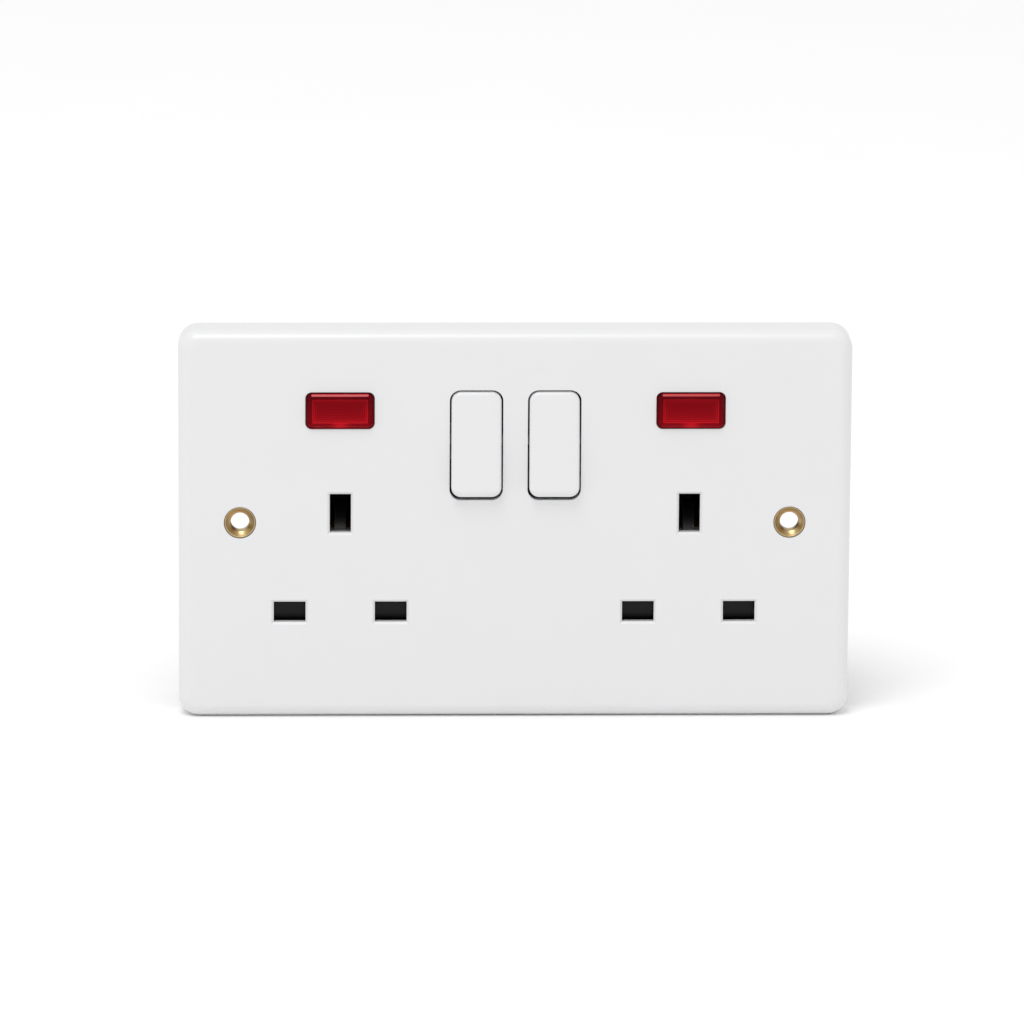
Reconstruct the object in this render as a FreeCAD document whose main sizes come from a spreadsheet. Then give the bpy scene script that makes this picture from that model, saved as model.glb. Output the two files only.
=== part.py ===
import FreeCAD, Part
import math
import os
import re
import Sketcher
from FreeCAD import Placement, Rotation, Vector

# Twin switched socket outlet, 13 A, with two neon indicators.
# Frame: origin at the centre of the plate's rear rim, in the plane of the wall.
# +X to the right as a person faces the plate, +Z up, the wall on the +Y side, the front towards -Y.
# Every depth below is a distance behind (+) or in front of (-) the wall plane, along Y.

doc = FreeCAD.newDocument("twin_socket")
sheet = doc.addObject("Spreadsheet::Sheet", "Sizes")

SIZES = [
    ("plate_width", 147.6, "front plate, side to side"),
    ("plate_height", 87.0, "front plate, bottom to top"),
    ("plate_depth", 9.5, "front plate, rim to front face"),
    ("plate_corner", 4.6, "corner radius of the plate's outline"),
    ("front_round", 3.0, "radius along the plate's front edge"),
    ("front_wall", 3.0, "thickness of the plate's face"),
    ("rim_wall", 2.6, "thickness of the plate's rim"),
    ("outlet_spacing", 76.6, "centre to centre of the two outlets"),
    ("earth_rise", 2.78, "earth slot centre above the plate's centre"),
    ("pin_drop", 22.23, "earth pin centre down to the line of the other two"),
    ("pin_spread", 22.22, "live pin centre to neutral pin centre"),
    ("slot_width", 7.0, "live and neutral slot, across"),
    ("slot_height", 4.8, "live and neutral slot, up"),
    ("earth_slot_width", 4.65, "earth slot, across"),
    ("earth_slot_height", 8.9, "earth slot, up"),
    ("slot_chamfer", 0.5, "bevel round each slot"),
    ("pin_length", 17.7, "live and neutral pin, from the plug's face"),
    ("pin_width", 6.35, "live and neutral pin, across"),
    ("pin_height", 3.95, "live and neutral pin, up"),
    ("earth_pin_length", 22.7, "earth pin, from the plug's face"),
    ("earth_pin_width", 4.0, "earth pin, across"),
    ("earth_pin_height", 8.0, "earth pin, up"),
    ("rocker_spacing", 17.26, "centre to centre of the two rockers"),
    ("rocker_rise", 18.2, "rocker centre above the plate's centre"),
    ("window_width", 11.86, "rocker window, across"),
    ("window_height", 25.0, "rocker window, up"),
    ("window_corner", 2.4, "rocker window, corner radius"),
    ("rocker_side_gap", 0.4, "gap beside a rocker in its window"),
    ("rocker_length", 23.2, "rocker, end to end"),
    ("rocker_corner", 2.2, "rocker, corner radius"),
    ("rocker_round", 0.8, "rocker, bevel of its front edges"),
    ("rocker_proud", 1.4, "rocker face in front of the plate when level"),
    ("rocker_skirt", 5.0, "rocker cap, front to back"),
    ("rocker_wall", 1.3, "rocker cap, wall"),
    ("rocker_tilt", 5.0, "rocker at rest, turned from level, degrees"),
    ("pivot_depth", 5.0, "rocker axis behind the plate's front face"),
    ("trunnion_width", 2.4, "rocker trunnion, diameter"),
    ("trunnion_reach", 1.5, "trunnion beyond the rocker's side"),
    ("running_gap", 0.05, "radial gap of a turning or sliding fit"),
    ("cheek_wall", 2.0, "bearing cheek behind the plate, thickness"),
    ("cheek_height", 8.0, "bearing cheek behind the plate, up"),
    ("stem_width", 4.6, "rocker stem, diameter"),
    ("stem_reach", 6.0, "rocker stem, beyond the rocker's axis"),
    ("plunger_width", 2.5, "plunger, diameter"),
    ("plunger_length", 5.9, "plunger, end to end"),
    ("plunger_reach", 2.5, "plunger tip beyond the stem's mouth"),
    ("plunger_travel", 1.5, "how far the plunger can be pushed in"),
    ("tip_gap", 0.15, "plunger tip to the rocking contact"),
    ("contact_tilt", 8.0, "rocking contact at rest, turned from level, degrees"),
    ("rocking_length", 14.0, "rocking contact, end to end"),
    ("rocking_width", 5.0, "rocking contact, across"),
    ("strip_wall", 0.8, "thickness of every brass strip"),
    ("button_offset", 5.5, "contact button above the rocking axis"),
    ("button_width", 2.8, "contact button, diameter"),
    ("button_height", 0.6, "contact button, thickness"),
    ("lens_spacing", 76.8, "centre to centre of the neon lenses"),
    ("lens_rise", 25.8, "lens centre above the plate's centre"),
    ("lens_width", 15.0, "neon lens, across"),
    ("lens_height", 8.05, "neon lens, up"),
    ("lens_corner", 1.3, "neon lens, corner radius"),
    ("lens_proud", 0.8, "lens in front of the plate"),
    ("lens_bevel", 0.7, "bevel round the lens's front"),
    ("lens_gap", 0.1, "gap round the lens in its window"),
    ("lens_flange", 1.0, "lens flange beyond the lens, all round"),
    ("flange_wall", 1.2, "lens flange, thickness"),
    ("lamp_width", 5.0, "neon lamp, diameter"),
    ("lamp_length", 12.0, "neon lamp, end to end"),
    ("resistor_width", 2.2, "series resistor, diameter"),
    ("resistor_length", 6.4, "series resistor, end to end"),
    ("fixing_spacing", 120.6, "centre to centre of the fixing screws"),
    ("fixing_rise", 0.65, "fixing screws above the plate's centre"),
    ("eyelet_head", 6.95, "eyelet head, diameter"),
    ("eyelet_tube", 5.2, "eyelet tube, outside diameter"),
    ("eyelet_bore", 4.1, "eyelet, bore"),
    ("eyelet_recess", 0.9, "depth of the plate's seat for the eyelet head"),
    ("eyelet_sink", 1.3, "depth of the eyelet's countersink"),
    ("shutter_wall", 2.4, "shutter, thickness"),
    ("shutter_gap", 0.25, "shutter to the back of the plate's face"),
    ("shutter_travel", 5.8, "how far a shutter slides down"),
    ("shutter_lap", 0.7, "shutter beyond the slot that it closes"),
    ("shutter_reach", 15.3, "half the width of a shutter's bar"),
    ("shutter_stem", 8.0, "shutter stem, across"),
    ("shutter_window", 4.6, "window in the stem for the spring, across"),
    ("ramp_width", 2.5, "ramp on the shutter's stem, across"),
    ("base_width", 110.0, "rear base, side to side"),
    ("base_top", 33.0, "rear base, top above the plate's centre"),
    ("base_bottom", 31.0, "rear base, bottom below the plate's centre"),
    ("base_corner", 3.0, "rear base, corner radius"),
    ("base_floor", 1.2, "rear base, floor of the deepest well"),
    ("housing_depth", 3.0, "terminal housing beyond the rear base"),
    ("housing_width", 50.0, "terminal housing, side to side"),
    ("housing_height", 29.0, "terminal housing, up from the base's bottom"),
    ("channel_gap", 0.2, "gap beside a strip in its channel"),
    ("leaf_wall", 0.7, "thickness of the contact leaves"),
    ("clip_width", 6.0, "contact clip, across"),
    ("tip_round", 1.1, "length and depth of the plunger's tapered tip"),
    ("spring_room", 2.5, "room for the plunger's spring at rest"),
    ("spring_wire", 0.35, "springs, diameter of the wire"),
    ("spring_seat", 0.1, "spring's end to its seat"),
    ("shutter_coil", 2.3, "shutter spring, middle diameter of the coil"),
    ("strip_width", 3.0, "width of the brass strips"),
    ("earth_width", 4.0, "width of the earth strap"),
    ("earth_level", 1.3, "back of the earth strap, behind the wall plane"),
    ("earth_strap_top", -2.5, "top edge of the earth strap"),
    ("terminal_spacing", 14.0, "terminal to terminal"),
    ("terminal_rise", -14.0, "terminals above the plate's centre"),
    ("terminal_width", 9.0, "terminal block, across and up"),
    ("terminal_depth", 8.5, "terminal block, front to back"),
    ("wire_bore", 4.4, "terminal block, bore for the wires"),
    ("wire_inset", 3.7, "bore axis behind the block's front"),
    ("screw_width", 3.9, "terminal screw, diameter"),
    ("screw_head", 5.6, "terminal screw head, diameter"),
    ("fixing_post", 5.6, "plate boss for an assembly screw, across and up"),
    ("joining_width", 2.3, "assembly screw shank, diameter"),
    ("joining_head", 5.0, "assembly screw head, diameter"),
]

NAMES = {name for name, _, _ in SIZES}
for line, (name, value, note) in enumerate(SIZES, start=1):
    sheet.set(f"A{line}", note)
    sheet.set(f"B{line}", str(value))
    sheet.setAlias(f"B{line}", name)
doc.recompute()


def cell(formula):
    """The formula with each size's name turned into its cell in the sheet."""
    return re.sub(r"[a-z][a-z_]*", lambda word: f"Sizes.{word[0]}" if word[0] in NAMES else word[0], formula)


def number(formula):
    """The formula's value now."""
    return float(sheet.evalExpression(cell(formula)))


# Places that several pieces share, as formulas of the sizes.
OUTLET = "outlet_spacing / 2"
PIN_ROW = "(earth_rise - pin_drop)"
PIN_SIDE = "pin_spread / 2"
FACE_BACK = "(front_wall - plate_depth)"
PIVOT = "(pivot_depth - plate_depth)"
DECK = f"({PIVOT} + trunnion_width / 2 + running_gap)"
STRIP_BACK = "(pin_length - plate_depth + 0.4 + 2 * strip_wall)"
WELL_FLOOR = f"({STRIP_BACK} + running_gap)"
EARTH_FLOOR = "(earth_pin_length - plate_depth + strip_wall)"
BASE_BACK = f"({EARTH_FLOOR} + base_floor)"
HOUSING_BACK = f"({BASE_BACK} + housing_depth)"
ROCKER_WIDTH = "(window_width - 2 * rocker_side_gap)"
ROCKER_SIDE = "rocker_spacing / 2"
STEM_TOP = "(earth_rise - earth_slot_height / 2 - 0.05)"
BAR_TOP = f"({PIN_ROW} + slot_height / 2 + shutter_lap)"
BAR_BOTTOM = f"({PIN_ROW} - slot_height / 2 - shutter_lap - 0.1)"
POST_TOP = f"({BAR_TOP} + 2.5)"
SPRING_TOP = f"({STEM_TOP} - 2.4)"
STRAP_BOTTOM = "(earth_strap_top - earth_width)"
NEUTRAL_TOP = f"({PIN_ROW} - 6)"
TIP = "(stem_reach + plunger_reach)"


def start_body(name, x="0", y="0", z="0"):
    """A new body with its origin at the given place."""
    body = doc.addObject("PartDesign::Body", name)
    body.Label = name
    for axis, formula in (("x", x), ("y", y), ("z", z)):
        body.setExpression(f"Placement.Base.{axis}", cell(formula))
    return body


def drawing_on(body, name, role="XZ_Plane", depth="0"):
    """A sketch on one of the body's own planes. On XZ a positive depth lies behind the body's origin."""
    drawing = body.newObject("Sketcher::SketchObject", name)
    plane = next(item for item in body.Origin.OriginFeatures if item.Role == role)
    drawing.AttachmentSupport = (plane, [""])
    drawing.MapMode = "FlatFace"
    sign = "-" if role == "XZ_Plane" else ""
    drawing.setExpression("AttachmentOffset.Base.z", cell(f"{sign}({depth})"))
    return drawing


def tie(drawing, kind, element, point, formula):
    """Holds one coordinate of a point of the drawing at a formula's value."""
    row = drawing.addConstraint(Sketcher.Constraint(kind, -1, 1, element, point, number(formula)))
    drawing.setExpression(f"Constraints[{row}]", cell(formula))


def polygon(drawing, corners):
    """A closed outline of straight lines through corners given as pairs of formulas."""
    first = drawing.GeometryCount
    count = len(corners)
    spots = [Vector(number(across), number(up), 0) for across, up in corners]
    for k in range(count):
        drawing.addGeometry(Part.LineSegment(spots[k], spots[(k + 1) % count]), False)
    for k in range(count):
        drawing.addConstraint(Sketcher.Constraint("Coincident", first + k, 2, first + (k + 1) % count, 1))
    for k, (across, up) in enumerate(corners):
        tie(drawing, "DistanceX", first + k, 1, across)
        tie(drawing, "DistanceY", first + k, 1, up)


def box(drawing, left, right, low, high):
    """A rectangle between two columns and two rows."""
    polygon(drawing, [(left, low), (right, low), (right, high), (left, high)])


def centred(drawing, across, up, width, height):
    """A rectangle round a centre."""
    box(drawing, f"{across} - ({width}) / 2", f"{across} + ({width}) / 2",
        f"{up} - ({height}) / 2", f"{up} + ({height}) / 2")


def rounded(drawing, across, up, width, height, radius):
    """A rectangle round a centre, its corners tangent arcs."""
    left = f"{across} - ({width}) / 2"
    right = f"{across} + ({width}) / 2"
    low = f"{up} - ({height}) / 2"
    high = f"{up} + ({height}) / 2"
    x0, x1, z0, z1, r = (number(item) for item in (left, right, low, high, radius))
    first = drawing.GeometryCount
    runs = [((x0 + r, z0), (x1 - r, z0)), ((x1, z0 + r), (x1, z1 - r)),
            ((x1 - r, z1), (x0 + r, z1)), ((x0, z1 - r), (x0, z0 + r))]
    middles = [(x1 - r, z0 + r), (x1 - r, z1 - r), (x0 + r, z1 - r), (x0 + r, z0 + r)]
    for k in range(4):
        (ax, az), (bx, bz) = runs[k]
        drawing.addGeometry(Part.LineSegment(Vector(ax, az, 0), Vector(bx, bz, 0)), False)
        circle = Part.Circle(Vector(*middles[k], 0), Vector(0, 0, 1), r)
        start = (k - 1) * math.pi / 2
        drawing.addGeometry(Part.ArcOfCircle(circle, start, start + math.pi / 2), False)
    for k in range(4):
        drawing.addConstraint(Sketcher.Constraint("Tangent", first + 2 * k, 2, first + 2 * k + 1, 1))
        drawing.addConstraint(Sketcher.Constraint("Tangent", first + 2 * k + 1, 2, first + (2 * k + 2) % 8, 1))
        if k:
            drawing.addConstraint(Sketcher.Constraint("Equal", first + 1, first + 2 * k + 1))
    for k, kind in enumerate(("Horizontal", "Vertical", "Horizontal", "Vertical")):
        drawing.addConstraint(Sketcher.Constraint(kind, first + 2 * k))
    row = drawing.addConstraint(Sketcher.Constraint("Radius", first + 1, r))
    drawing.setExpression(f"Constraints[{row}]", cell(radius))
    tie(drawing, "DistanceY", first, 1, low)
    tie(drawing, "DistanceX", first + 2, 1, right)
    tie(drawing, "DistanceY", first + 4, 1, high)
    tie(drawing, "DistanceX", first + 6, 1, left)


def ring(drawing, across, up, width):
    """A circle of a given diameter."""
    middle = Vector(number(across), number(up), 0)
    mark = drawing.addGeometry(Part.Circle(middle, Vector(0, 0, 1), number(width) / 2), False)
    tie(drawing, "DistanceX", mark, 3, across)
    tie(drawing, "DistanceY", mark, 3, up)
    row = drawing.addConstraint(Sketcher.Constraint("Diameter", mark, number(width)))
    drawing.setExpression(f"Constraints[{row}]", cell(width))


def raise_pad(drawing, length, back=False, both=False):
    """Material from a drawing: towards its plane's normal, away from it, or half to each side."""
    body = drawing.getParentGeoFeatureGroup()
    feature = body.newObject("PartDesign::Pad", f"{drawing.Name}_pad")
    feature.Profile = drawing
    feature.setExpression("Length", cell(length))
    feature.Reversed = back
    if both:
        feature.SideType = "Symmetric"
    drawing.Visibility = False
    doc.recompute()
    return feature


def cut_pocket(drawing, depth, back=False, both=False):
    """A cut from a drawing, against its plane's normal unless back is set. It has to remove something."""
    body = drawing.getParentGeoFeatureGroup()
    before = body.Shape.Volume
    feature = body.newObject("PartDesign::Pocket", f"{drawing.Name}_cut")
    feature.Profile = drawing
    feature.setExpression("Length", cell(depth))
    feature.Reversed = back
    if both:
        feature.SideType = "Symmetric"
    drawing.Visibility = False
    doc.recompute()
    if feature.Shape.Volume >= before - 1e-6:
        raise RuntimeError(f"{feature.Name} cuts nothing")
    return feature


def turn_about(drawing, role):
    """A solid of revolution about one of the body's own axes."""
    body = drawing.getParentGeoFeatureGroup()
    feature = body.newObject("PartDesign::Revolution", f"{drawing.Name}_turn")
    feature.Profile = drawing
    axis = next(item for item in body.Origin.OriginFeatures if item.Role == role)
    feature.ReferenceAxis = (axis, [""])
    feature.Angle = 360
    drawing.Visibility = False
    doc.recompute()
    return feature


def edges_of(feature, test):
    """Names of the feature's edges whose bounding box passes a test."""
    return [f"Edge{k}" for k, edge in enumerate(feature.Shape.Edges, start=1) if test(edge)]


def soften(feature, names, size, kind="Fillet"):
    """A fillet or a chamfer along the named edges of a feature."""
    body = feature.getParentGeoFeatureGroup()
    softened = body.newObject(f"PartDesign::{kind}", f"{feature.Name}_{kind.lower()}")
    softened.Base = (feature, names)
    softened.setExpression("Radius" if kind == "Fillet" else "Size", cell(size))
    doc.recompute()
    return softened


def lies_at(edge, y):
    """Whether an edge lies wholly at one depth."""
    span = edge.BoundBox
    return abs(span.YMin - y) < 1e-3 and abs(span.YMax - y) < 1e-3


def within(edge, across, up, width, height):
    """Whether an edge lies inside a rectangle round a centre, seen from the front."""
    span = edge.BoundBox
    return (abs(span.XMin - across) < width and abs(span.XMax - across) < width
            and abs(span.ZMin - up) < height and abs(span.ZMax - up) < height)


# Front plate: one white urea moulding with a face, a rim, and bosses and cheeks behind the face.
plate = start_body("front_plate")

outline = drawing_on(plate, "plate_outline")
rounded(outline, "0", "0", "plate_width", "plate_height", "plate_corner")
block = raise_pad(outline, "plate_depth")
front = number("-plate_depth")
block = soften(block, edges_of(block, lambda edge: lies_at(edge, front)), "front_round")

cavity = drawing_on(plate, "plate_cavity")
rounded(cavity, "0", "0", "plate_width - 2 * rim_wall", "plate_height - 2 * rim_wall",
        "plate_corner - rim_wall")
cut_pocket(cavity, "plate_depth - front_wall", back=True)

posts = drawing_on(plate, "screw_posts", depth=FACE_BACK)
JOINING_SCREWS = [("-lens_spacing / 2", "rocker_rise - 0.9"), ("lens_spacing / 2", "rocker_rise - 0.9"),
                  (f"-({OUTLET}) + 9", f"{BAR_TOP} + 5.2"), (f"{OUTLET} - 9", f"{BAR_TOP} + 5.2")]
for across, up in JOINING_SCREWS:
    centred(posts, across, up, "fixing_post", "fixing_post")
raise_pad(posts, f"{DECK} - {FACE_BACK} - running_gap", back=True)

CHEEK_SIDE = f"({ROCKER_SIDE} + window_width / 2)"
cheeks = drawing_on(plate, "bearing_cheeks", depth=FACE_BACK)
low = "rocker_rise - cheek_height / 2"
high = "rocker_rise + cheek_height / 2"
box(cheeks, f"-{CHEEK_SIDE} - cheek_wall", f"-{CHEEK_SIDE}", low, high)
box(cheeks, f"window_width / 2 - {ROCKER_SIDE}", f"{ROCKER_SIDE} - window_width / 2", low, high)
box(cheeks, CHEEK_SIDE, f"{CHEEK_SIDE} + cheek_wall", low, high)
raise_pad(cheeks, f"{DECK} - {FACE_BACK} - running_gap", back=True)

rails = drawing_on(plate, "shutter_rails", depth=FACE_BACK)
for side in ("-1", "1"):
    for edge in ("-1", "1"):
        centred(rails, f"{side} * {OUTLET} + {edge} * (shutter_reach + 0.9)", f"{PIN_ROW} - 2.5", "1.4", "15")
raise_pad(rails, f"{DECK} - {FACE_BACK} - running_gap", back=True)

BEARING = "trunnion_width + 2 * running_gap"
seats = drawing_on(plate, "bearing_seats", "YZ_Plane")
ring(seats, PIVOT, "rocker_rise", BEARING)
cut_pocket(seats, f"2 * {CHEEK_SIDE} + 2 * cheek_wall", both=True)
throats = drawing_on(plate, "bearing_throats", "YZ_Plane")
box(throats, PIVOT, f"{DECK} + running_gap",
    f"rocker_rise - ({BEARING}) / 2", f"rocker_rise + ({BEARING}) / 2")
cut_pocket(throats, f"2 * {CHEEK_SIDE} + 2 * cheek_wall", both=True)

slots = drawing_on(plate, "pin_slots", depth="-plate_depth")
SLOTS = []
for side in ("-1", "1"):
    SLOTS.append((f"{side} * {OUTLET}", "earth_rise", "earth_slot_width", "earth_slot_height"))
    for hand in ("-1", "1"):
        SLOTS.append((f"{side} * {OUTLET} + {hand} * {PIN_SIDE}", PIN_ROW, "slot_width", "slot_height"))
for across, up, width, height in SLOTS:
    centred(slots, across, up, width, height)
opened = cut_pocket(slots, "front_wall")
rims = []
for across, up, width, height in SLOTS:
    here = [number(item) for item in (across, up, width, height)]
    rims += edges_of(opened, lambda edge: lies_at(edge, front) and within(edge, *here))
soften(opened, rims, "slot_chamfer", "Chamfer")

windows = drawing_on(plate, "windows", depth="-plate_depth")
for side in ("-1", "1"):
    rounded(windows, f"{side} * {ROCKER_SIDE}", "rocker_rise",
            "window_width", "window_height", "window_corner")
    rounded(windows, f"{side} * lens_spacing / 2", "lens_rise", "lens_width + 2 * lens_gap",
            "lens_height + 2 * lens_gap", "lens_corner + lens_gap")
cut_pocket(windows, "front_wall")

sinks = drawing_on(plate, "eyelet_seats", depth="-plate_depth")
throughs = drawing_on(plate, "eyelet_holes", depth="-plate_depth")
pilots = drawing_on(plate, "screw_pilots", depth=f"{DECK} - running_gap")
for side in ("-1", "1"):
    ring(sinks, f"{side} * fixing_spacing / 2", "fixing_rise", "eyelet_head + 0.15")
    ring(throughs, f"{side} * fixing_spacing / 2", "fixing_rise", "eyelet_tube + 2 * running_gap")
for across, up in JOINING_SCREWS:
    ring(pilots, across, up, "joining_width + 2 * running_gap")
cut_pocket(sinks, "eyelet_recess")
cut_pocket(throughs, "front_wall")
cut_pocket(pilots, f"{DECK} - {FACE_BACK} + 1.3", back=True)

# Eyelets: brass, turned dished head in the plate's seat, tube through the face, end rolled over the strap.
for side, name in (("-1", "fixing_eyelet_left"), ("1", "fixing_eyelet_right")):
    eyelet = start_body(name, f"{side} * fixing_spacing / 2", "0", "fixing_rise")
    section = drawing_on(eyelet, f"{name}_section", "XY_Plane")
    head = "-plate_depth + 0.15"
    roll = f"{FACE_BACK} + running_gap + strip_wall"
    polygon(section, [
        ("eyelet_head / 2", head),
        ("eyelet_head / 2", "-plate_depth + eyelet_recess"),
        ("eyelet_tube / 2", "-plate_depth + eyelet_recess"),
        ("eyelet_tube / 2", roll),
        ("eyelet_tube / 2 + 0.8", roll),
        ("eyelet_tube / 2 + 0.8", f"{roll} + 0.45"),
        ("eyelet_bore / 2", f"{roll} + 0.45"),
        ("eyelet_bore / 2", f"{head} + eyelet_sink"),
        ("eyelet_head / 2 - 0.3", head),
    ])
    turn_about(section, "Y_Axis")

# Neon lenses: clear red mouldings pressed in from behind, a bevelled face with a flange behind the wall.
for side, name in (("-1", "neon_lens_left"), ("1", "neon_lens_right")):
    lens = start_body(name, f"{side} * lens_spacing / 2", "0", "lens_rise")
    face = drawing_on(lens, f"{name}_face", depth=f"{FACE_BACK} + running_gap")
    rounded(face, "0", "0", "lens_width", "lens_height", "lens_corner")
    window = raise_pad(face, "front_wall + running_gap + lens_proud")
    reach = number("-plate_depth - lens_proud")
    soften(window, edges_of(window, lambda edge: lies_at(edge, reach)), "lens_bevel", "Chamfer")
    flange = drawing_on(lens, f"{name}_flange", depth=f"{FACE_BACK} + running_gap")
    rounded(flange, "0", "0", "lens_width + 2 * lens_flange", "lens_height + 2 * lens_flange",
            "lens_corner + lens_flange")
    raise_pad(flange, "flange_wall", back=True)
    pipe = drawing_on(lens, f"{name}_pipe", depth=f"{FACE_BACK} + running_gap + flange_wall")
    centred(pipe, "0", "0", "lens_width - 5", "lens_height - 4")
    raise_pad(pipe, f"{DECK} - {FACE_BACK} - flange_wall - 0.4", back=True)

LAMP_DEPTH = f"({DECK} + lamp_width / 2 + 0.1)"
RESISTOR_RISE = "(lens_rise + lamp_width / 2 + resistor_width / 2 + 0.9)"
for side, name in (("-1", "neon_lamp_left"), ("1", "neon_lamp_right")):
    lamp = start_body(name, f"{side} * lens_spacing / 2", LAMP_DEPTH, "lens_rise")
    section = drawing_on(lamp, f"{name}_section", "XY_Plane")
    polygon(section, [
        ("-lamp_length / 2", "0"),
        ("-lamp_length / 2", "lamp_width / 2"),
        ("lamp_length / 2 - lamp_width / 2", "lamp_width / 2"),
        ("lamp_length / 2", "0.4"),
        ("lamp_length / 2", "0"),
    ])
    turn_about(section, "X_Axis")

for side, name in (("-1", "neon_resistor_left"), ("1", "neon_resistor_right")):
    resistor = start_body(name, f"{side} * lens_spacing / 2", LAMP_DEPTH, RESISTOR_RISE)
    section = drawing_on(resistor, f"{name}_section", "XY_Plane")
    box(section, "-resistor_length / 2", "resistor_length / 2", "0", "resistor_width / 2")
    turn_about(section, "X_Axis")

# Rear base: one moulding behind the plate, with a well or a channel for every metal part.
base = start_body("rear_base")
outline = drawing_on(base, "base_outline", depth=DECK)
rounded(outline, "0", "(base_top - base_bottom) / 2", "base_width", "base_top + base_bottom", "base_corner")
block = raise_pad(outline, f"{BASE_BACK} - {DECK}", back=True)
back = number(BASE_BACK)
soften(block, edges_of(block, lambda edge: lies_at(edge, back)), "base_floor - 0.2", "Chamfer")
housing = drawing_on(base, "terminal_housing", depth=f"{BASE_BACK} - 1")
box(housing, "-housing_width / 2", "housing_width / 2", "-base_bottom + 1", "housing_height - base_bottom")
raise_pad(housing, "housing_depth + 1", back=True)

posts = drawing_on(base, "spring_posts", depth=f"{DECK} + 0.5")
for side in ("-1", "1"):
    box(posts, f"{side} * {OUTLET} - 1.9", f"{side} * {OUTLET} + 1.9", f"{POST_TOP} - 1.4", POST_TOP)
raise_pad(posts, f"{DECK} - {FACE_BACK} + 0.5 - 0.3")

# Wells and channels, each cut from the deck: (name, left, right, low, high, floor).
TRACK = "(strip_width / 2 + channel_gap)"
FEED_RISE = "(earth_strap_top + 4)"
RETURN_RISE = "(earth_rise + 9.2)"
LINK_COLUMN = f"({OUTLET} - {PIN_SIDE} - 5.2)"
LINK_RIGHT = f"({ROCKER_SIDE} + 6.67)"
PAD_RISE = "(rocker_rise + button_offset)"
WELLS = []
for side in ("-1", "1"):
    for hand in ("-1", "1"):
        middle = f"{side} * {OUTLET} + {hand} * {PIN_SIDE}"
        WELLS.append((f"{middle} - 3.6", f"{middle} + 3.6",
                      f"{PIN_ROW} - 4.3", f"{PIN_ROW} + 4.3", WELL_FLOOR))
    middle = f"{side} * {OUTLET}"
    WELLS.append((f"{middle} - 4", f"{middle} + 4", "earth_strap_top - channel_gap",
                  "earth_rise + earth_pin_height / 2 + 1.4", EARTH_FLOOR))
    WELLS.append((f"{middle} - 4", f"{middle} + 4", f"{STRAP_BOTTOM} - 1.2",
                  "earth_strap_top + channel_gap", "earth_level + strip_wall + 0.1"))
    middle = f"{side} * {ROCKER_SIDE}"
    WELLS.append((f"{middle} - 4", f"{middle} + 4", "rocker_rise - rocking_length / 2 - 2",
                  "rocker_rise + rocking_length / 2 + 2", WELL_FLOOR))
    middle = f"{side} * lens_spacing / 2"
    WELLS.append((f"{middle} - lamp_length / 2 - 1.5", f"{middle} + lamp_length / 2 + 1.5",
                  "lens_rise - lamp_width / 2 - 0.3", f"{RESISTOR_RISE} + resistor_width / 2 + 0.3",
                  f"{LAMP_DEPTH} + lamp_width / 2 + 0.3"))
LEFT_NEUTRAL = f"(-({OUTLET}) - {PIN_SIDE})"
LEFT_LIVE = f"(-({OUTLET}) + {PIN_SIDE})"
RIGHT_NEUTRAL = f"({OUTLET} - {PIN_SIDE})"
RIGHT_LIVE = f"({OUTLET} + {PIN_SIDE})"
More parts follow.
